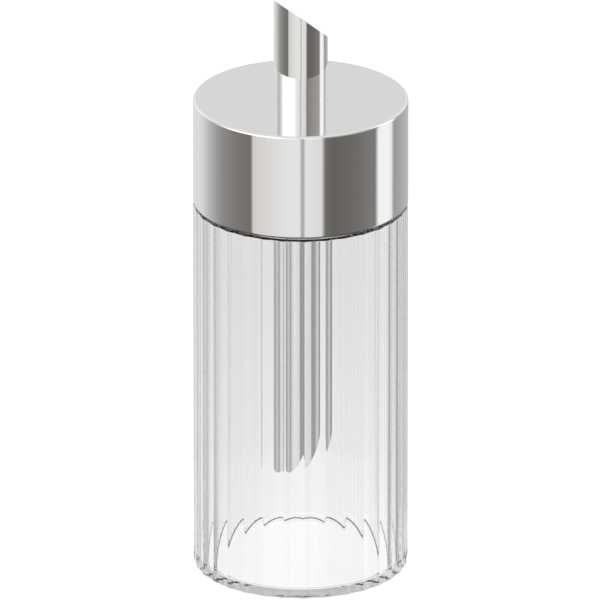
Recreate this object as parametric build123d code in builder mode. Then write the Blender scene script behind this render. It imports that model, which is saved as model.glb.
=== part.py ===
"""Sugar container: a fluted glass jar, a tall steel lid and a dosing tube through the lid.

Millimetres, +Z up. The origin is the middle of the foot, and the front of the
object looks along -Y. Angles are in degrees, anticlockwise seen from above.
"""
from build123d import *
import math
import os

os.makedirs("parts", exist_ok=True)

# Driving dimensions: glass jar
body_radius = 31.0  # over the ridges of the glass, and over the lid
body_height = 110.95  # foot to shoulder
glass_wall = 2.8  # at a ridge
glass_floor = 2.0
flute_count = 32
flute_depth = 0.22  # how far a flute is hollowed behind its two ridges
first_ridge = -87.9  # a ridge just right of the front
ridge_round = 1.0
foot_round = 0.8
shoulder_round = 0.15
floor_round = 1.6
neck_height = 16.0  # shoulder to rim
neck_wall = 1.8
neck_flare = 0.4  # hollow round between shoulder and neck
throat_drop = 0.8  # where the inside starts to narrow, below the shoulder
throat_rise = 2.0  # height of the narrowing
throat_round = 1.2
rim_round = 0.6

# Driving dimensions: quarter-turn closure between neck and lid
lug_count = 4
lug_height = 0.85  # how far a glass bead stands out from the neck
bead_arc = 45.0
bead_thickness = 2.2
bead_round = 0.35
bead_drop = 4.8  # top of a bead below the rim
lug_arc = 36.0
lug_thickness = 2.0
lug_play = 0.15  # between the top of a lug and the underside of a bead
lock_turn = 45.0  # from lugs in the gaps to lugs under the beads
stop_play = 0.5  # between a lug and the tab that ends its turn

# Driving dimensions: lid
lid_gap = 0.7  # shoulder to lower edge of the lid
lid_height = 31.6
sheet = 0.5  # steel sheet
lid_round = 0.8
hem = 0.75  # lower edge turned in under the liner
hem_round = 0.9  # outside of the bend between side and hem
liner_wall = 1.05
liner_plate = 1.8
liner_chamfer = 0.8
rib_count = 6
rib_thickness = 1.2
rib_height = 4.5
gasket_thickness = 1.6
gasket_round = 0.25
lip_wall = 1.0  # ring that centres the gasket and reaches into the neck
lip_reach = 1.2
boss_wall = 1.3
boss_round = 0.6
sleeve_wall = 1.6
sleeve_drop = 7.0

# Driving dimensions: dosing tube
tube_radius = 7.8
tube_wall = 0.5
spout_rise = 24.5  # lid top to the upper cut, on the axis
intake_height = 33.7  # glass floor to the lower cut, on the axis
cut_tilt = 39.7
cut_heading = 29.0  # way in which both cuts shorten the tube, from the right to the back
bead_bulge = 1.1  # rolled bead that carries the tube
bead_blend = 0.4
ring_section = 0.78  # radius of the round sealing ring above the rolled bead

# Clearances
fit_gap = 0.05  # pieces pressed or slipped together
run_gap = 0.15  # closure pieces that pass each other
soft_gap = 0.3  # round the loose gasket
plug_gap = 0.9  # centring ring in the neck

# Heights that follow
rim_height = body_height + neck_height
lid_bottom = body_height + lid_gap
lid_top = lid_bottom + lid_height
lid_ceiling = lid_top - sheet
plate_bottom = rim_height + gasket_thickness
plate_top = plate_bottom + liner_plate
liner_bottom = lid_bottom + sheet + fit_gap
liner_top = lid_ceiling - fit_gap
bead_top = rim_height - bead_drop
bead_bottom = bead_top - bead_thickness
stop_arc = (bead_arc - lug_arc) / 2 - stop_play
lug_top = bead_bottom - lug_play
lug_bottom = lug_top - lug_thickness

# Radii that follow
bore_radius = body_radius - glass_wall
shell_bore = body_radius - sheet
liner_radius = shell_bore - fit_gap
liner_bore = liner_radius - liner_wall
bead_radius = liner_bore - run_gap
neck_radius = bead_radius - lug_height
neck_bore = neck_radius - neck_wall
lug_tip = neck_radius + run_gap
lip_radius = neck_bore - plug_gap
sleeve_bore = tube_radius + fit_gap
sleeve_radius = sleeve_bore + sleeve_wall

# Seat of the tube: its rolled bead rests in a cone, with the sealing ring between bead and steel
ring_radius = sleeve_bore + ring_section
ring_height = lid_ceiling - fit_gap - ring_section
ring_lift = math.sqrt(
    (bead_bulge + ring_section + fit_gap) ** 2 - (ring_radius - tube_radius) ** 2
)
bulge_height = ring_height - ring_lift
seat_radius = tube_radius + math.sqrt(2) * (bead_bulge + fit_gap)
seat_foot = bulge_height + sleeve_bore - seat_radius
boss_bore = ring_radius + ring_section + soft_gap
boss_radius = boss_bore + boss_wall


def turned(radius, degrees):
    """Point on a circle about the axis."""
    return Vector(radius, 0, 0).rotate(Axis.Z, degrees)


def cut_plane(height, tilt):
    """Plane across the axis at a height, leaning towards the heading of the cuts."""
    normal = Vector(0, 0, 1).rotate(Axis.Y, tilt).rotate(Axis.Z, cut_heading)
    return Plane(origin=(0, 0, height), z_dir=normal)


# Glass bead of the closure, with the tab that stops a lug
with BuildPart() as glass_bead:
    with BuildSketch(Plane.XZ):
        with Locations((neck_radius - neck_wall / 2, bead_bottom)):
            Rectangle(
                neck_wall / 2 + lug_height,
                bead_thickness,
                align=(Align.MIN, Align.MIN),
            )
    revolve(revolution_arc=bead_arc)
    fillet(glass_bead.edges().filter_by(GeomType.CIRCLE).group_by(SortBy.RADIUS)[-1], bead_round)
    with BuildSketch(Plane.XZ):
        with Locations((neck_radius - neck_wall / 2, lug_bottom)):
            Rectangle(
                neck_wall / 2 + lug_height - bead_round,
                bead_bottom + bead_thickness / 2 - lug_bottom,
                align=(Align.MIN, Align.MIN),
            )
    revolve(revolution_arc=stop_arc)

# Glass jar: fluted body, neck with beads, round inside
with BuildPart() as jar:
    with BuildSketch() as fluted:
        with BuildLine():
            step = 360 / flute_count
            for flute in range(flute_count):
                start = first_ridge + flute * step
                SagittaArc(
                    turned(body_radius, start),
                    turned(body_radius, start + step),
                    flute_depth,
                )
        make_face()
        fillet(fluted.vertices(), ridge_round)
    extrude(amount=body_height)
    fillet(jar.faces().sort_by(Axis.Z)[0].edges(), foot_round)
    fillet(jar.faces().sort_by(Axis.Z)[-1].edges(), shoulder_round)

    with BuildSketch(Plane.XZ):
        with BuildLine():
            Polyline(
                (0, body_height - shoulder_round),
                (neck_radius + neck_flare, body_height - shoulder_round),
                (neck_radius + neck_flare, body_height),
            )
            RadiusArc(
                (neck_radius + neck_flare, body_height),
                (neck_radius, body_height + neck_flare),
                neck_flare,
            )
            Polyline(
                (neck_radius, body_height + neck_flare),
                (neck_radius, rim_height),
                (0, rim_height),
                (0, body_height - shoulder_round),
            )
        make_face()
    revolve()

    throat_bottom = body_height - throat_drop
    with BuildSketch(Plane.XZ) as inside:
        with BuildLine():
            Polyline(
                (0, glass_floor),
                (bore_radius, glass_floor),
                (bore_radius, throat_bottom),
                (neck_bore, throat_bottom + throat_rise),
                (neck_bore, rim_height),
                (0, rim_height),
                close=True,
            )
        make_face()
        fillet(inside.vertices().group_by(Axis.X)[-2].sort_by(Axis.Y)[0], throat_round)
        fillet(inside.vertices().group_by(Axis.X)[-1].sort_by(Axis.Y)[-1], throat_round)
        fillet(inside.vertices().group_by(Axis.X)[-1].sort_by(Axis.Y)[0], floor_round)
    revolve(mode=Mode.SUBTRACT)
    fillet(jar.faces().sort_by(Axis.Z)[-1].edges(), rim_round)

    with PolarLocations(0, lug_count, start_angle=-lock_turn - bead_arc / 2):
        add(glass_bead.part)

jar.part.label = "jar"
export_step(jar.part, "parts/jar.step")

# Lid shell: one deep-drawn sheet, with a hole for the tube and its lower edge turned in
with BuildPart() as lid_shell:
    with BuildSketch(Plane.XZ) as sheet_section:
        with BuildLine():
            Polyline(
                (sleeve_bore, lid_top),
                (body_radius, lid_top),
                (body_radius, lid_bottom),
                (shell_bore - hem, lid_bottom),
                (shell_bore - hem, lid_bottom + sheet),
                (shell_bore, lid_bottom + sheet),
                (shell_bore, lid_ceiling),
                (sleeve_bore, lid_ceiling),
                close=True,
            )
        make_face()
        inner_corners = sheet_section.vertices().group_by(Axis.X)[-2].sort_by(Axis.Y)
        fillet(inner_corners[-1], lid_round - sheet)
        fillet(inner_corners[0], hem_round - sheet)
        outer_corners = sheet_section.vertices().group_by(Axis.X)[-1].sort_by(Axis.Y)
        fillet(outer_corners[-1], lid_round)
        fillet(outer_corners[0], hem_round)
    revolve()

lid_shell.part.label = "lid_shell"
export_step(lid_shell.part, "parts/lid_shell.step")

# Lug of the liner, which turns under a glass bead
with BuildPart() as liner_lug:
    with BuildSketch(Plane.XZ) as lug_section:
        with Locations((lug_tip, lug_bottom)):
            Rectangle(
                liner_bore - lug_tip + liner_wall / 2,
                lug_thickness,
                align=(Align.MIN, Align.MIN),
            )
        fillet(lug_section.vertices().group_by(Axis.X)[0], bead_round)
    revolve(revolution_arc=lug_arc)

# Liner: moulded cup inside the shell, with lugs, centring ring and the boss that carries the tube
with BuildPart() as lid_liner:
    with BuildSketch(Plane.XZ) as wall_section:
        with Locations((liner_bore, liner_bottom)):
            Rectangle(liner_wall, liner_top - liner_bottom, align=(Align.MIN, Align.MIN))
        outer_corners = wall_section.vertices().group_by(Axis.X)[-1].sort_by(Axis.Y)
        chamfer(outer_corners[-1], liner_chamfer)
        chamfer(outer_corners[0], hem_round - sheet + fit_gap)
    revolve()

    with BuildSketch(Plane.XY.offset(plate_bottom)):
        Circle(liner_bore + liner_wall / 2)
    extrude(amount=liner_plate)

    with BuildSketch(Plane.XY.offset(rim_height - lip_reach)):
        Circle(lip_radius)
        Circle(lip_radius - lip_wall, mode=Mode.SUBTRACT)
    extrude(amount=lip_reach + gasket_thickness + liner_plate / 2)

    with BuildSketch(Plane.XY.offset(plate_bottom - sleeve_drop)):
        Circle(sleeve_radius)
    extrude(amount=sleeve_drop + liner_plate / 2)

    with BuildSketch(Plane.XY.offset(plate_top - liner_plate / 2)):
        Circle(boss_radius)
    extrude(amount=liner_top - plate_top + liner_plate / 2)
    plate_circles = (
        lid_liner.edges()
        .filter_by(GeomType.CIRCLE)
        .filter_by_position(Axis.Z, plate_top - fit_gap, plate_top + fit_gap)
    )
    fillet(plate_circles.sort_by(SortBy.RADIUS)[0], boss_round)

    with BuildSketch(Plane.XY.offset(plate_top - liner_plate / 2)):
        with PolarLocations((boss_radius + liner_bore) / 2, rib_count):
            Rectangle(liner_bore - boss_radius + liner_wall, rib_thickness)
    extrude(amount=rib_height + liner_plate / 2)

    with BuildSketch(Plane.XZ):
        with BuildLine():
            Polyline(
                (0, plate_bottom - sleeve_drop),
                (sleeve_bore, plate_bottom - sleeve_drop),
                (sleeve_bore, seat_foot),
                (seat_radius, bulge_height),
                (boss_bore, bulge_height),
                (boss_bore, liner_top),
                (0, liner_top),
                close=True,
            )
        make_face()
    revolve(mode=Mode.SUBTRACT)

    with PolarLocations(0, lug_count, start_angle=-lug_arc / 2):
        add(liner_lug.part)

lid_liner.part.label = "lid_liner"
export_step(lid_liner.part, "parts/lid_liner.step")

# Gasket: flat soft ring between the rim of the neck and the plate of the liner
with BuildPart() as lid_gasket:
    with BuildSketch(Plane.XZ) as ring_profile:
        with Locations((lip_radius + soft_gap, rim_height)):
            Rectangle(
                liner_bore - lip_radius - 2 * soft_gap,
                gasket_thickness,
                align=(Align.MIN, Align.MIN),
            )
        fillet(ring_profile.vertices(), gasket_round)
    revolve()

lid_gasket.part.label = "lid_gasket"
export_step(lid_gasket.part, "parts/lid_gasket.step")

# Dosing tube: thin steel tube with a rolled bead, cut aslant at both ends
with BuildPart() as dosing_tube:
    with BuildSketch(Plane.XZ) as tube_profile:
        with BuildLine():
            Polyline(
                (tube_radius, bulge_height - bead_bulge),
                (tube_radius, 0),
                (0, 0),
                (0, lid_top + 2 * spout_rise),
                (tube_radius, lid_top + 2 * spout_rise),
                (tube_radius, bulge_height + bead_bulge),
            )
            ThreePointArc(
                (tube_radius, bulge_height - bead_bulge),
                (tube_radius + bead_bulge, bulge_height),
                (tube_radius, bulge_height + bead_bulge),
            )
        make_face()
        fillet(tube_profile.vertices().group_by(Axis.X)[-1].sort_by(Axis.Y)[1:3], bead_blend)
    revolve()
    ends = dosing_tube.faces().filter_by(Axis.Z).sort_by(Axis.Z)
    offset(amount=-tube_wall, openings=[ends[0], ends[-1]])
    split(bisect_by=cut_plane(lid_top + spout_rise, cut_tilt), keep=Keep.BOTTOM)
    split(bisect_by=cut_plane(glass_floor + intake_height, -cut_tilt), keep=Keep.TOP)

dosing_tube.part.label = "dosing_tube"
export_step(dosing_tube.part, "parts/dosing_tube.step")

# Sealing ring: round soft ring between the rolled bead and the steel
with BuildPart() as tube_seal:
    with BuildSketch(Plane.XZ):
        with Locations((ring_radius, ring_height)):
            Circle(ring_section)
    revolve()

tube_seal.part.label = "tube_seal"
export_step(tube_seal.part, "parts/tube_seal.step")
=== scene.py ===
"""Looks of the sugar container: glass jar, polished lid and dosing tube in a pale studio.

Metres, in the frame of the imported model. The front of the object looks along -Y.
"""

import math

import bpy
import numpy as np
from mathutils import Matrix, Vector


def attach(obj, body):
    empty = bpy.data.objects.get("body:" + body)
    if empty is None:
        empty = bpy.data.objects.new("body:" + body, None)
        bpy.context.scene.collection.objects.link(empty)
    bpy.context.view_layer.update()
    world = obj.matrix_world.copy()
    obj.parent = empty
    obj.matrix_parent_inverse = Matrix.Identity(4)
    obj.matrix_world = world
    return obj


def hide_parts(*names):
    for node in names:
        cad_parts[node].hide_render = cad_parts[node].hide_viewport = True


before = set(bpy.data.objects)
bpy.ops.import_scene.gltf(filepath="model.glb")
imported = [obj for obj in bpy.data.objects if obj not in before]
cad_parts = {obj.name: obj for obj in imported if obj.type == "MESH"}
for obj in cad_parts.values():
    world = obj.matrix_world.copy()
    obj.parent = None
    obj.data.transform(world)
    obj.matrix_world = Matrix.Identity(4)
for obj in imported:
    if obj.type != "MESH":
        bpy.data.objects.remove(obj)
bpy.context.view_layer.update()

MM = 0.001

# Glass jar
body_radius = 31.0 * MM
shoulder_height = 110.95 * MM
rim_height = 126.95 * MM
flute_count = 32
flute_depth = 0.22 * MM
first_ridge = math.radians(-87.9)
ridge_softness = 0.12 * MM
foot_round = 0.8 * MM
shoulder_round = 0.15 * MM
neck_radius = 28.4 * MM
neck_bore = 26.6 * MM
neck_flare = 0.4 * MM
rim_round = 0.6 * MM
bore_radius = 28.2 * MM
floor_thickness = 2.0 * MM
floor_round = 1.6 * MM
throat_bottom = 110.15 * MM
throat_top = 112.15 * MM
throat_round = 1.2 * MM
bead_count = 4
bead_height = 0.85 * MM
bead_low = 119.95 * MM
bead_high = 122.15 * MM
bead_arc = math.radians(45)
bead_middle = math.radians(-45)
bead_end_fall = 0.06  # share of half a bead's length over which its end falls
bead_side_fall = 0.5
tab_low = 117.8 * MM
tab_arc = math.radians(4)
tab_end_fall = 0.4
tab_side_fall = 0.2
tab_share = 0.6  # how far a tab stands out, as a share of a bead's height

# Lid shell and dosing tube
lid_bottom = 111.65 * MM
lid_top = 143.25 * MM
sheet = 0.5 * MM
lid_round = 0.8 * MM
hem_round = 0.9 * MM
hem = 0.75 * MM
hole_radius = 7.81 * MM
tube_radius = 7.8 * MM
tube_wall = 0.5 * MM
bulge = 1.1 * MM
bulge_height = 140.18 * MM
upper_cut = 167.75 * MM
lower_cut = 35.7 * MM
cut_tilt = math.radians(39.7)
cut_heading = math.radians(29.0)
inner_bulge = 0.9  # size of the bulge inside the tube, as a share of the one outside

# Fineness of the meshes
columns_per_flute = 20
lid_columns = 360
tube_columns = 256
neck_rows = 44
bulge_rows = 17
wall_rows = (30 * MM, 80 * MM)  # heights at which the long wall of the jar is divided
floor_rows = (4 * MM, 20 * MM)  # and distances at which its floor is


def round_angles(count):
    """Angles evenly spaced round the axis, the last one short of a full turn."""
    return np.linspace(0, 2 * np.pi, count, endpoint=False)


def flute_angles(per_flute):
    """Angles that crowd together at the ridges: a cubic within each flute, flat at both ends."""
    place = np.linspace(-1, 1, per_flute, endpoint=False)
    crowded = place * (3 - place**2) / 2
    half = np.pi / flute_count
    middles = first_ridge + half + 2 * half * np.arange(flute_count)
    return (middles[:, None] + half * crowded[None, :]).ravel()


def fluted_radius(angles):
    """Distance of the fluted wall from the axis.

    Each flute is an arc of a circle that stands outside the jar and cuts in behind the
    chord between two ridges. The wall is the smaller of the distances to a flute's own
    arc and to its neighbour's, with a parabola over the crossing that rounds the ridge.
    """
    half = np.pi / flute_count
    chord = body_radius * np.sin(half)
    hollow = (chord**2 + flute_depth**2) / (2 * flute_depth)
    middle = body_radius * np.cos(half) - flute_depth + hollow
    offset = np.abs((angles - first_ridge) % (2 * half) - half)

    def arc(turn):
        return middle * np.cos(turn) - np.sqrt(hollow**2 - (middle * np.sin(turn)) ** 2)

    own, neighbour = arc(offset), arc(2 * half - offset)
    near = np.maximum(ridge_softness - np.abs(own - neighbour), 0) / ridge_softness
    return np.minimum(own, neighbour) - near**2 * ridge_softness / 4


def plateau(place, edge):
    """1 inside -1 to 1 and 0 outside, with a rounded fall over the last share of the way."""
    inner = np.clip((1 - np.abs(place)) / edge, 0, 1)
    return np.sqrt(1 - (1 - inner) ** 2)


def closure_relief(angles, heights):
    """How far the neck stands out: a long bead in each quarter, and a tab below one of its ends."""
    turn = 2 * np.pi / bead_count
    around = (angles - bead_middle + turn / 2) % turn - turn / 2

    def patch(middle, arc, end_fall, low, high, side_fall):
        across = plateau((around - middle) / (arc / 2), end_fall)
        return across * plateau((heights - (low + high) / 2) / ((high - low) / 2), side_fall)

    bead = patch(0, bead_arc, bead_end_fall, bead_low, bead_high, bead_side_fall)
    tab_top = (bead_low + bead_high) / 2
    tab = patch((tab_arc - bead_arc) / 2, tab_arc, tab_end_fall, tab_low, tab_top, tab_side_fall)
    return bead_height * np.maximum(bead, tab_share * tab)


def quarter(centre, radius, start, stop, count=7):
    """Points of an arc in the section: centre, plus radius times the cosine and sine of the angle."""
    turn = np.radians(np.linspace(start, stop, count))
    return np.stack([centre[0] + radius * np.cos(turn), centre[1] + radius * np.sin(turn)], axis=1)


def skin(name, points, ring):
    """Mesh from a grid of points: rows run along the section, columns round the axis.

    A ring joins its last row to its first. Otherwise each end row is closed by a fan
    round its own middle. Rows that climb outside and columns that turn anticlockwise
    give faces that look outwards.
    """
    rows, columns = points.shape[:2]
    index = np.arange(rows * columns).reshape(rows, columns)
    nearer = index if ring else index[:-1]
    further = np.roll(index, -1, axis=0) if ring else index[1:]
    quads = np.stack(
        [nearer, np.roll(nearer, -1, axis=1), np.roll(further, -1, axis=1), further], axis=-1
    ).reshape(-1, 4)
    vertices = points.reshape(-1, 3)
    faces = quads.tolist()
    if not ring:
        ends = [points[0].mean(axis=0), points[-1].mean(axis=0)]
        vertices = np.vstack([vertices, ends])
        first, last = rows * columns, rows * columns + 1
        opening, closing = index[0], index[-1]
        faces += np.stack(
            [np.full(columns, first), np.roll(opening, -1), opening], axis=-1
        ).tolist()
        faces += np.stack(
            [np.full(columns, last), closing, np.roll(closing, -1)], axis=-1
        ).tolist()
    mesh = bpy.data.meshes.new(name)
    mesh.from_pydata(vertices.tolist(), [], faces)
    mesh.polygons.foreach_set("use_smooth", np.ones(len(mesh.polygons), dtype=bool))
    mesh.update()
    piece = bpy.data.objects.new(name, mesh)
    bpy.context.scene.collection.objects.link(piece)
    return piece


def turned_grid(angles, radii, heights):
    """Grid of points at the given distances and heights, one row for each point of the section."""
    angles, radii, heights = np.broadcast_arrays(angles, radii, heights)
    return np.stack([radii * np.cos(angles), radii * np.sin(angles), heights], axis=-1)


def glass_jar():
    """The jar as one closed skin: along the foot, up the flutes, over the rim and down inside.

    The distance of a row from the axis is its own radius, plus its share of the flutes,
    plus the relief of the closure where the row lies on the neck. A row stands a hold away
    from each bend, so that the faces beside it are shaded flat.
    """
    hold = 0.06 * MM
    body_inset = body_radius - foot_round
    foot = quarter((body_inset, foot_round), foot_round, -90, 0)
    flare = quarter((neck_radius + neck_flare, shoulder_height + neck_flare), neck_flare, 270, 180, 9)
    rim_outer = quarter((neck_radius - rim_round, rim_height - rim_round), rim_round, 0, 90)
    rim_inner = quarter((neck_bore + rim_round, rim_height - rim_round), rim_round, 90, 180)
    neck_heights = np.linspace(tab_low - 2 * hold, bead_high + 2 * hold, neck_rows)
    neck = np.stack([np.full(neck_heights.size, neck_radius), neck_heights], axis=1)
    slope = math.atan2(throat_top - throat_bottom, bore_radius - neck_bore)
    trim = throat_round * math.tan((math.pi / 2 - slope) / 2)
    lean = math.degrees(math.pi / 2 - slope)
    throat_upper = quarter((neck_bore + throat_round, throat_top + trim), throat_round, 180, 180 + lean, 5)
    throat_lower = quarter((bore_radius - throat_round, throat_bottom - trim), throat_round, lean, 0, 5)
    corner = quarter((bore_radius - floor_round, floor_thickness + floor_round), floor_round, 0, -90)

    def plain(*pairs):
        return np.array(pairs)

    fluted = np.vstack([
        plain((body_inset - hold, 0)),
        foot,
        plain((body_radius, foot_round + hold), *((body_radius, height) for height in wall_rows)),
        plain((body_radius, shoulder_height - shoulder_round - hold)),
        quarter((body_radius - shoulder_round, shoulder_height - shoulder_round), shoulder_round, 0, 90),
        plain((body_radius - shoulder_round - hold, shoulder_height)),
    ])
    before = plain(*((distance, 0) for distance in floor_rows))
    after = np.vstack([
        plain((neck_radius + neck_flare + hold, shoulder_height)),
        flare,
        plain((neck_radius, shoulder_height + neck_flare + hold)),
        neck,
        rim_outer,
        rim_inner,
        plain((neck_bore, rim_height - rim_round - hold), (neck_bore, throat_top + trim + hold)),
        throat_upper,
        throat_lower,
        plain((bore_radius, throat_bottom - trim - hold)),
        plain(*((bore_radius, height) for height in reversed(wall_rows))),
        plain((bore_radius, floor_thickness + floor_round + hold)),
        corner,
        plain((bore_radius - floor_round - hold, floor_thickness)),
        plain(*((distance, floor_thickness) for distance in reversed(floor_rows))),
    ])
    section = np.vstack([before, fluted, after])
    share = np.concatenate([np.zeros(len(before)), np.ones(len(fluted)), np.zeros(len(after))])
    on_neck = (np.abs(section[:, 0] - neck_radius) < hold / 2) & (section[:, 1] > shoulder_height)
    angles = flute_angles(columns_per_flute)
    radii = section[:, :1] + share[:, None] * (fluted_radius(angles) - body_radius)[None, :]
    heights = np.repeat(section[:, 1:], angles.size, axis=1)
    radii += on_neck[:, None] * closure_relief(angles[None, :], heights)
    return skin("glass_jar", turned_grid(angles[None, :], radii, heights), ring=False)


def lid_cap():
    """The drawn sheet as one closed ring: up the side, over the top to the hole, and back inside."""
    hold = 0.05 * MM
    inside = body_radius - sheet
    ceiling = lid_top - sheet
    inner_round = lid_round - sheet
    bend = (body_radius - hem_round, lid_bottom + hem_round)
    section = np.vstack([
        quarter(bend, hem_round, -90, 0, 11),
        [(body_radius, lid_bottom + hem_round + hold), (body_radius, lid_top - lid_round - hold)],
        quarter((body_radius - lid_round, lid_top - lid_round), lid_round, 0, 90, 11),
        [(body_radius - lid_round - hold, lid_top), (hole_radius + hold, lid_top)],
        [(hole_radius + hold / 2, lid_top), (hole_radius, lid_top - hold / 2)],
        [(hole_radius, lid_top - hold), (hole_radius, ceiling + hold)],
        [(hole_radius, ceiling + hold / 2), (hole_radius + hold / 2, ceiling)],
        [(hole_radius + hold, ceiling), (inside - inner_round - hold, ceiling)],
        quarter((inside - inner_round, ceiling - inner_round), inner_round, 90, 0),
        [(inside, ceiling - inner_round - hold), (inside, bend[1] + hold)],
        quarter(bend, hem_round - sheet, 0, -90, 5),
        [(bend[0] - hold, lid_bottom + sheet), (inside - hem + 2 * hold, lid_bottom + sheet)],
        [(inside - hem + hold, lid_bottom + sheet), (inside - hem, lid_bottom + sheet - hold)],
        [(inside - hem, lid_bottom + hold), (inside - hem + hold, lid_bottom)],
        [(inside - hem + 2 * hold, lid_bottom), (body_radius - hem_round - hold, lid_bottom)],
    ])
    angles = round_angles(lid_columns)
    return skin("steel_lid", turned_grid(angles[None, :], section[:, :1], section[:, 1:]), ring=True)


def pouring_tube():
    """The tube as one closed ring: up the outside, over the slanting lip, and down inside.

    A cut is a plane: its height changes with the distance along the heading, times the
    tangent of the tilt. Every row has a distance from the axis, a height, and a kind that
    says from which cut the height counts, or 0 if it counts from the foot.
    """
    edge = 0.08 * MM
    inner = tube_radius - tube_wall
    above = lid_top + 5 * MM
    upper, lower = 1, -1

    def bulged(radius, size):
        swell = np.linspace(-1, 1, bulge_rows)
        out = size * np.sqrt(np.maximum(1 - swell**2, 0))
        return np.stack([radius + out, bulge_height + size * swell, np.zeros(bulge_rows)], axis=1)

    rows = np.vstack([
        [(tube_radius - edge, 0, lower), (tube_radius - edge / 3, edge / 3, lower)],
        [(tube_radius, edge, lower), (tube_radius, 2 * edge, lower)],
        [(tube_radius, bulge_height - bulge - 2 * edge, 0)],
        [(tube_radius, bulge_height - bulge - edge, 0)],
        bulged(tube_radius, bulge),
        [(tube_radius, bulge_height + bulge + edge, 0), (tube_radius, bulge_height + bulge + 2 * edge, 0)],
        [(tube_radius, above, 0), (tube_radius, -2 * edge, upper), (tube_radius, -edge, upper)],
        [(tube_radius - edge / 3, -edge / 3, upper), (tube_radius - edge, 0, upper)],
        [(inner + edge, 0, upper), (inner + edge / 3, -edge / 3, upper), (inner, -edge, upper)],
        [(inner, -2 * edge, upper), (inner, above, 0)],
        [(inner, bulge_height + bulge + 2 * edge, 0), (inner, bulge_height + bulge + edge, 0)],
        bulged(inner, inner_bulge * bulge)[::-1],
        [(inner, bulge_height - bulge - edge, 0), (inner, bulge_height - bulge - 2 * edge, 0)],
        [(inner, 2 * edge, lower)],
        [(inner, edge, lower), (inner + edge / 3, edge / 3, lower), (inner + edge, 0, lower)],
    ])
    angles = round_angles(tube_columns)
    radii = np.repeat(rows[:, :1], angles.size, axis=1)
    slope = math.tan(cut_tilt) * radii * np.cos(angles - cut_heading)[None, :]
    from_upper = upper_cut - slope + rows[:, 1:2]
    from_lower = lower_cut + slope + rows[:, 1:2]
    kind = rows[:, 2:3]
    heights = np.where(kind == upper, from_upper, np.where(kind == lower, from_lower, rows[:, 1:2]))
    return skin("pouring_tube", turned_grid(angles[None, :], radii, heights), ring=True)


def shader(name):
    """A new material, its node tree and its principled shader."""
    material = bpy.data.materials.new(name)
    material.use_nodes = True
    tree = material.node_tree
    return material, tree, tree.nodes["Principled BSDF"]


def wire(tree, value, socket):
    """Sets a socket to a plain value, or links another socket to it."""
    if isinstance(value, bpy.types.NodeSocket):
        tree.links.new(value, socket)
    else:
        socket.default_value = value


def math_node(tree, operation, *values):
    """Result of one calculation on sockets or plain numbers."""
    node = tree.nodes.new("ShaderNodeMath")
    node.operation = operation
    for socket, value in zip(node.inputs, values):
        wire(tree, value, socket)
    return node.outputs[0]


def product(tree, *factors):
    """Product of two or more sockets."""
    result = factors[0]
    for factor in factors[1:]:
        result = math_node(tree, "MULTIPLY", result, factor)
    return result


def largest(tree, *values):
    """Largest of two or more sockets."""
    result = values[0]
    for value in values[1:]:
        result = math_node(tree, "MAXIMUM", result, value)
    return result


def ranged(tree, value, source, target=(0, 1), smooth=False):
    """Ramp from one range to another, flat outside it, straight or with rounded ends."""
    node = tree.nodes.new("ShaderNodeMapRange")
    if smooth:
        node.interpolation_type = "SMOOTHSTEP"
    for socket, limit in zip(list(node.inputs)[1:5], source + target):
        socket.default_value = limit
    tree.links.new(value, node.inputs["Value"])
    return node.outputs["Result"]


def mixed(tree, share, first, second):
    """Colour between two colours, by a share from 0 to 1."""
    node = tree.nodes.new("ShaderNodeMix")
    node.data_type = "RGBA"
    colour_sockets = [socket for socket in node.inputs if socket.type == "RGBA"]
    wire(tree, share, node.inputs[0])
    wire(tree, first, colour_sockets[0])
    wire(tree, second, colour_sockets[1])
    return next(socket for socket in node.outputs if socket.type == "RGBA")


def blended(tree, share, first, second):
    """Shader between two shaders, by a share from 0 to 1."""
    node = tree.nodes.new("ShaderNodeMixShader")
    for value, socket in zip((share, first, second), node.inputs):
        tree.links.new(value, socket)
    return node.outputs[0]


def split(tree, vector):
    """The three parts of a vector socket."""
    node = tree.nodes.new("ShaderNodeSeparateXYZ")
    tree.links.new(vector, node.inputs[0])
    return node.outputs


def object_noise(tree, scale, stretch=(1, 1, 1)):
    """Noise on the piece's own coordinates, stretched along the axes."""
    place = tree.nodes.new("ShaderNodeTexCoord")
    mapping = tree.nodes.new("ShaderNodeMapping")
    mapping.inputs["Scale"].default_value = stretch
    noise = tree.nodes.new("ShaderNodeTexNoise")
    noise.inputs["Scale"].default_value = scale
    noise.inputs["Detail"].default_value = 2.0
    tree.links.new(place.outputs["Object"], mapping.inputs["Vector"])
    tree.links.new(mapping.outputs["Vector"], noise.inputs["Vector"])
    return noise.outputs["Fac"]


def bump_from(tree, height, strength, depth, surface):
    """Bump of a given depth from a height socket."""
    bump = tree.nodes.new("ShaderNodeBump")
    bump.inputs["Strength"].default_value = strength
    bump.inputs["Distance"].default_value = depth
    tree.links.new(height, bump.inputs["Height"])
    tree.links.new(bump.outputs["Normal"], surface.inputs["Normal"])


def uneven_tone(tree, scale, darker, paler, surface):
    """Base colour that wanders between two tones."""
    tone = tree.nodes.new("ShaderNodeValToRGB")
    tone.color_ramp.elements[0].color = darker
    tone.color_ramp.elements[1].color = paler
    tree.links.new(object_noise(tree, scale), tone.inputs["Fac"])
    tree.links.new(tone.outputs["Color"], surface.inputs["Base Color"])


def clear_glass():
    """Pressed clear glass with very faint upright waves from the mould."""
    material, tree, surface = shader("clear_glass")
    surface.inputs["Base Color"].default_value = (1, 1, 1, 1)
    surface.inputs["Transmission Weight"].default_value = 1
    surface.inputs["Roughness"].default_value = 0
    surface.inputs["IOR"].default_value = 1.5
    waves = object_noise(tree, 90, (1, 1, 0.05))
    bump_from(tree, waves, 0.1, 0.02 * MM, surface)
    return material


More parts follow.
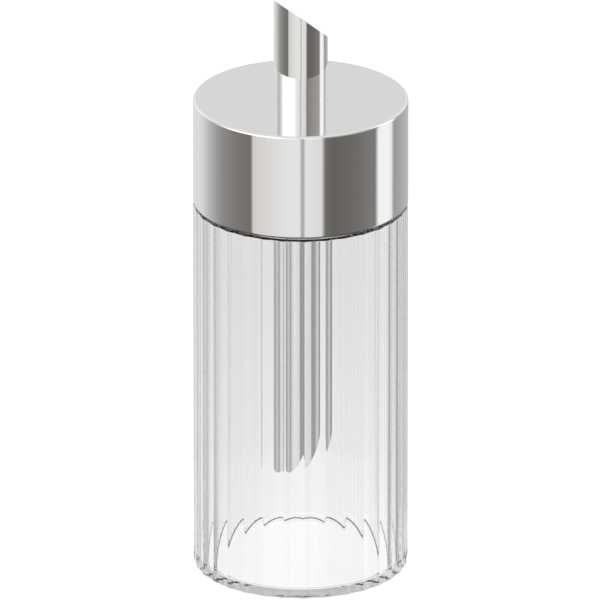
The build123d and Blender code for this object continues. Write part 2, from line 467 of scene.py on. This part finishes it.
def polished_steel():
    """Mirror-polished stainless sheet with faint hairlines that run round it."""
    material, tree, surface = shader("polished_steel")
    surface.inputs["Metallic"].default_value = 1
    surface.inputs["Roughness"].default_value = 0.04
    surface.inputs["Base Color"].default_value = (0.757, 0.757, 0.753, 1)
    hairs = object_noise(tree, 300, (0.1, 0.1, 4))
    bump_from(tree, hairs, 0.05, 0.005 * MM, surface)
    return material


def moulded_plastic():
    """White moulded plastic, slightly uneven in tone, with a fine satin grain."""
    material, tree, surface = shader("moulded_plastic")
    surface.inputs["Roughness"].default_value = 0.45
    uneven_tone(tree, 40, (0.78, 0.78, 0.76, 1), (0.84, 0.84, 0.83, 1), surface)
    bump_from(tree, object_noise(tree, 1500), 0.1, 0.02 * MM, surface)
    return material


def milky_silicone():
    """Soft translucent silicone with a dusty sheen."""
    material, tree, surface = shader("milky_silicone")
    surface.inputs["Roughness"].default_value = 0.5
    surface.inputs["Subsurface Weight"].default_value = 0.3
    surface.inputs["Subsurface Radius"].default_value = (1 * MM, 1 * MM, 1 * MM)
    uneven_tone(tree, 120, (0.74, 0.74, 0.73, 1), (0.82, 0.82, 0.81, 1), surface)
    bump_from(tree, object_noise(tree, 900), 0.15, 0.02 * MM, surface)
    return material


glass = clear_glass()
steel = polished_steel()
plastic = moulded_plastic()
silicone = milky_silicone()

jar = glass_jar()
jar.data.materials.append(glass)
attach(jar, "jar")
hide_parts("jar")

cap = lid_cap()
cap.data.materials.append(steel)
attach(cap, "lid")
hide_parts("lid_shell")

tube = pouring_tube()
tube.data.materials.append(steel)
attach(tube, "lid")
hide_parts("dosing_tube")

for node, finish in (("lid_liner", plastic), ("lid_gasket", silicone), ("tube_seal", silicone)):
    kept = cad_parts[node]
    kept.data.materials.clear()
    kept.data.materials.append(finish)


def grey(level, warmth=0.0):
    """Grey of a brightness, a little warmer where asked."""
    return (level * (1 + warmth), level, level * (1 - warmth), 1)


# Panels of the studio: degrees from the front towards the right, and their grey
warm = 0.06
low_panels = (
    (-180, grey(0.74)), (-160, grey(0.84)), (-140, grey(0.88)), (-129, grey(0.82)), (-117, grey(0.63)),
    (-108, grey(0.5)), (-99, grey(0.39, 0.02)), (-91, grey(0.32, 0.04)), (-77, grey(0.26, warm)),
    (-64, grey(0.22, warm)), (-55, grey(0.2, warm)), (-52, grey(0.8, 0.04)), (-48, grey(0.83, 0.04)),
    (-30, grey(0.92, 0.02)), (-15, grey(1.0)), (-1, grey(1.0)), (1, grey(0.54, 0.03)), (3, grey(0.49, 0.03)),
    (5, grey(1.0)), (12, grey(0.97)), (22.5, grey(0.9)), (26, grey(0.2, warm)), (35, grey(0.155, warm)),
    (60, grey(0.185, warm)), (80, grey(0.25, 0.04)), (87.5, grey(0.25, 0.03)), (92.5, grey(1.15)),
    (108, grey(1.17)), (114, grey(1.05)), (119, grey(0.41)), (140, grey(0.51)), (180, grey(0.62)),
)
high_panels = (
    (-180, grey(0.86)), (-150, grey(1.1)), (-128, grey(1.15)), (-112, grey(0.85)), (-104, grey(0.76)),
    (-90, grey(1.15)), (-82, grey(1.6)), (-76, grey(1.9)), (-28, grey(1.9)), (-22, grey(1.45, 0.02)),
    (-15, grey(1.28, 0.02)), (-6, grey(1.22, 0.02)), (0, grey(0.8, 0.02)), (6, grey(1.2)), (12, grey(1.2)),
    (21, grey(1.1)), (26, grey(0.35, 0.05)), (40, grey(0.4, 0.05)), (70, grey(0.52, 0.03)), (87, grey(0.56)),
    (92.5, grey(1.5)), (112, grey(1.55)), (118, grey(0.72)), (135, grey(0.93)), (150, grey(1.1)),
    (180, grey(0.86)),
)


# Rest of the room, by direction. A direction has length 1, so its parts lie between -1 and 1,
# and a pair says where a change begins and where it is complete
panels_meet = (-0.1, 0.1)  # from the low panels to the high ones
ceiling_from, ceiling_level = (0.5, 0.8), 0.95
pit_from, pit_level = (-0.75, -0.5), 0.06
table_from, table_level = (-0.95, -0.9), 0.5  # straight down, in first reflections only
first_depth = (2.2, 2.8)  # between the ray depth of a first reflection and of a second
front_from, front_share = (-0.2, 0.1), 0.2  # the panels in front are paler through glass
aslant_from, aslant_share = (0.4, 0.55), 0.42  # and those aslant behind it are darker
aslant_back = (-0.1, 0.1)
wall_behind = (0.7, 0.85)  # how far a direction points back to meet the pale wall
wall_beside = (0.85, 0.95)  # or to a side
wall_level = 0.86
wall_top_from, wall_top_level = (0.1, 0.25), 0.52  # its darker upper part
unturned_depth = (0.2, 0.8)  # between no bounce and one
dull_level = 0.9  # what surfaces without shine see

# Lamp, in metres and watts, and camera, its lens and sensor in millimetres
lamp_place = (-0.5, -0.5, 0.9)
lamp_size = 0.8
lamp_power = 4
lens = 1600
sensor = 36
elevation = math.radians(21.91)
frame_height = 172.86 * MM
camera_target = (-0.18 * MM, 0, 80.64 * MM)

# Floor, and the light and shade painted on it for the glass to show: distances, and levels as parts of full
# brightness
floor_rings = (20 * MM, 500 * MM, 4000 * MM)
floor_columns = 96
floor_drop = 0.1 * MM
matte_level = 0.5
glow_level = 0.585
# painted light: the glow that the glass shows fades with distance
fade_range, fade_levels = (35 * MM, 220 * MM), (0.905, 0.8)
foot_edge = (33 * MM, 36 * MM)
painted_glow_under_jar = 0.205  # painted light that the jar adds to the floor under it
# tint of the painted light under the jar
painted_glow_tint = (1, 0.99, 0.975, 1)
strip_width, strip_spread, strip_blend = 45 * MM, 0.35, 10 * MM  # the floor that shows behind
rim_range, rim_painted_shade = (4 * MM, 18 * MM), 0.5  # painted shade from the edge of the strip inwards
left_range, left_painted_shade = (-15 * MM, 20 * MM), 0.95  # painted shade from left to right
ring_inner = (28.2 * MM, 28.6 * MM)
ring_outer = (32.5 * MM, 34 * MM)
ring_range, ring_painted_shade = (4 * MM, 20 * MM), (0.75, 0.9)  # painted shade in a ring under the jar's wall, from front to back
steep_range, steep_painted_shade = (0.2, 0.45), 0.85  # painted shade where looked at steeply; 0 means looked at straight down
trapped_depth = (4, 8)  # painted shade: bounces after which no light is left
outer_range = (42 * MM, 50 * MM)
bounced_depth, bounced_painted_shade = (0.5, 1.5), 0.13  # painted shade: what a bounce costs out there


def direction_ramp(tree, turn, stops):
    """Grey by direction round the axis: stops are degrees from the front and a grey."""
    ramp = tree.nodes.new("ShaderNodeValToRGB")
    ramp.color_ramp.interpolation = "LINEAR"
    elements = ramp.color_ramp.elements
    while len(elements) > 1:
        elements.remove(elements[-1])
    for number, (degrees, colour) in enumerate(stops):
        place = degrees / 360 + 0.5
        stop = elements[0] if number == 0 else elements.new(place)
        stop.position = place
        stop.color = colour
    tree.links.new(turn, ramp.inputs["Fac"])
    return ramp.outputs["Color"]


def studio_world():
    """Pale studio: white for the camera, and light and dark panels that metal and glass show.

    Light that passed the glass without a bounce meets a plain pale wall all round, and so
    does light that bounced and leaves to the back or to a side. All other light that passed
    the glass meets the panels, paler in front and darker aslant behind.
    """
    world = bpy.data.worlds.new("studio")
    bpy.context.scene.world = world
    world.use_nodes = True
    tree = world.node_tree
    x, y, z = split(tree, tree.nodes.new("ShaderNodeTexCoord").outputs["Generated"])
    sideways = math_node(tree, "ABSOLUTE", x)
    path = tree.nodes.new("ShaderNodeLightPath").outputs
    through = path["Is Transmission Ray"]

    front = math_node(tree, "MULTIPLY", y, -1.0)
    around = math_node(tree, "ARCTAN2", x, front)
    turn = math_node(tree, "MULTIPLY_ADD", around, 1 / (2 * math.pi), 0.5)
    low = direction_ramp(tree, turn, low_panels)
    high = direction_ramp(tree, turn, high_panels)
    room = mixed(tree, ranged(tree, z, panels_meet, smooth=True), low, high)
    room = mixed(tree, ranged(tree, z, ceiling_from, smooth=True), room, grey(ceiling_level))
    room = mixed(tree, ranged(tree, z, pit_from, (1, 0)), room, grey(pit_level))
    first = ranged(tree, path["Ray Depth"], first_depth, (1, 0))
    table = product(tree, ranged(tree, z, table_from, (1, 0)), first)
    room = mixed(tree, table, room, grey(table_level))

    ahead = product(tree, through, ranged(tree, y, front_from, (front_share, 0)))
    room = mixed(tree, ahead, room, grey(1))
    aslant = ranged(tree, sideways, aslant_from, (0, aslant_share))
    aslant = product(tree, aslant, ranged(tree, y, aslant_back), through)
    room = mixed(tree, aslant, room, grey(0))
    wall = mixed(tree, ranged(tree, z, wall_top_from), grey(wall_level), grey(wall_top_level))
    unturned = ranged(tree, path["Glossy Depth"], unturned_depth, (1, 0))
    outward = largest(tree, ranged(tree, y, wall_behind), ranged(tree, sideways, wall_beside))
    meets_wall = product(tree, through, largest(tree, outward, unturned))
    room = mixed(tree, meets_wall, room, wall)

    room = mixed(tree, path["Is Diffuse Ray"], room, grey(dull_level))
    room = mixed(tree, path["Is Camera Ray"], room, grey(1))
    background = tree.nodes["Background"]
    tree.links.new(room, background.inputs["Color"])
    background.inputs["Strength"].default_value = 1.0


def floor_painted_for_glass(tree, path):
    """The floor as the glass shows it: painted light, a glow under and behind the object, and clear
    elsewhere.

    The painted glow fades with distance and is stronger under the jar. Painted shade makes it
    weaker at the rims and the left of the strip behind, in a ring below the wall, and for light
    that bounced. Under the jar, painted shade also weakens it where it is looked at steeply, and takes it
    away after many bounces.
    """
    place = tree.nodes.new("ShaderNodeTexCoord").outputs["Object"]
    x, y, _ = split(tree, place)
    length = tree.nodes.new("ShaderNodeVectorMath")
    length.operation = "LENGTH"
    tree.links.new(place, length.inputs[0])
    distance = length.outputs["Value"]
    under = ranged(tree, distance, foot_edge, (1, 0))
    apart = ranged(tree, distance, foot_edge)

    half_width = math_node(tree, "MULTIPLY_ADD", y, strip_spread, strip_width)
    within = math_node(tree, "SUBTRACT", half_width, math_node(tree, "ABSOLUTE", x))
    behind = product(tree, ranged(tree, within, (0, strip_blend)), ranged(tree, y, (0, strip_blend)))

    # Painted light: a glow that fades with distance and is stronger under the jar.
    fade = ranged(tree, distance, fade_range, fade_levels)
    painted_light = math_node(tree, "MULTIPLY_ADD", under, painted_glow_under_jar, fade)
    # Painted shade at the rims and the left of the strip behind.
    rims = ranged(tree, within, rim_range, (rim_painted_shade, 1))
    rims = product(tree, rims, ranged(tree, x, left_range, (left_painted_shade, 1)))
    # Painted shade in a ring under the jar's wall.
    ring = largest(
        tree, ranged(tree, distance, ring_inner, (1, 0)), ranged(tree, distance, ring_outer),
        ranged(tree, y, ring_range, ring_painted_shade),
    )
    # Painted shade where the floor under the jar is looked at steeply.
    facing = tree.nodes.new("ShaderNodeLayerWeight")
    facing.inputs["Blend"].default_value = 0.5
    steep = ranged(tree, facing.outputs["Facing"], steep_range, (steep_painted_shade, 1))
    # Painted shade: under the jar the glow is gone after many bounces.
    trapped = ranged(tree, path["Glossy Depth"], trapped_depth, (1, 0))
    # Painted shade for light that bounced, out beyond the jar.
    outer = ranged(tree, distance, outer_range)
    loss = product(tree, outer, ranged(tree, path["Glossy Depth"], bounced_depth, (0, -bounced_painted_shade)))
    painted_light = product(
        tree, painted_light, largest(tree, rims, under), ring, largest(tree, steep, apart),
        largest(tree, trapped, apart), math_node(tree, "ADD", loss, 1),
    )

    # The painted light and shade become the strength of an emission.
    seen = tree.nodes.new("ShaderNodeEmission")
    tree.links.new(painted_light, seen.inputs["Strength"])
    tree.links.new(mixed(tree, under, grey(1), painted_glow_tint), seen.inputs["Color"])
    clear = tree.nodes.new("ShaderNodeBsdfTransparent")
    return blended(tree, largest(tree, under, behind), clear.outputs[0], seen.outputs[0])


def pale_floor():
    """Round white floor: lit to the eye, so that it keeps the object's shadow, and a glow of painted light
    and shade to glass.
    """
    radii = np.array(floor_rings)[:, None]
    points = turned_grid(round_angles(floor_columns)[None, :], radii, -floor_drop)
    floor = skin("floor", points, ring=False)
    material, tree, surface = shader("pale_floor")
    tree.nodes.remove(surface)
    path = tree.nodes.new("ShaderNodeLightPath").outputs
    matte = tree.nodes.new("ShaderNodeBsdfDiffuse")
    matte.inputs["Color"].default_value = grey(matte_level)
    glow = tree.nodes.new("ShaderNodeEmission")
    glow.inputs["Strength"].default_value = glow_level
    lit = tree.nodes.new("ShaderNodeAddShader")
    tree.links.new(matte.outputs[0], lit.inputs[0])
    tree.links.new(glow.outputs[0], lit.inputs[1])
    glassy = floor_painted_for_glass(tree, path)
    choice = blended(tree, path["Is Transmission Ray"], lit.outputs[0], glassy)
    tree.links.new(choice, tree.nodes["Material Output"].inputs["Surface"])
    floor.data.materials.append(material)
    floor.visible_glossy = False


def soft_lamp():
    """Square lamp that looks at the middle of the object and isn't mirrored in it."""
    light = bpy.data.lights.new("key", "AREA")
    light.shape = "SQUARE"
    light.size = lamp_size
    light.energy = lamp_power
    lamp = bpy.data.objects.new("key", light)
    lamp.location = lamp_place
    aim = Vector((0, 0, rim_height / 2)) - lamp.location
    lamp.rotation_mode = "QUATERNION"
    lamp.rotation_quaternion = aim.to_track_quat("-Z", "Y")
    lamp.visible_glossy = False
    lamp.visible_transmission = False
    bpy.context.scene.collection.objects.link(lamp)


def photo_camera():
    """Long lens far away, at the height and side from which the photograph was taken."""
    target = Vector(camera_target)
    data = bpy.data.cameras.new("camera")
    data.lens = lens
    data.sensor_width = sensor
    data.clip_start, data.clip_end = 0.1, 100
    camera = bpy.data.objects.new("camera", data)
    back = Vector((0, -math.cos(elevation), math.sin(elevation)))
    camera.location = target + back * (lens / sensor * frame_height)
    camera.rotation_mode = "QUATERNION"
    camera.rotation_quaternion = (-back).to_track_quat("-Z", "Y")
    bpy.context.scene.collection.objects.link(camera)
    bpy.context.scene.camera = camera


def light_paths():
    """Enough bounces for light that runs along inside the glass."""
    cycles = bpy.context.scene.cycles
    cycles.max_bounces = 48
    cycles.glossy_bounces = 24
    cycles.transmission_bounces = 24
    cycles.transparent_max_bounces = 16


studio_world()
pale_floor()
soft_lamp()
photo_camera()
light_paths()
bpy.context.scene.view_settings.view_transform = "Standard"
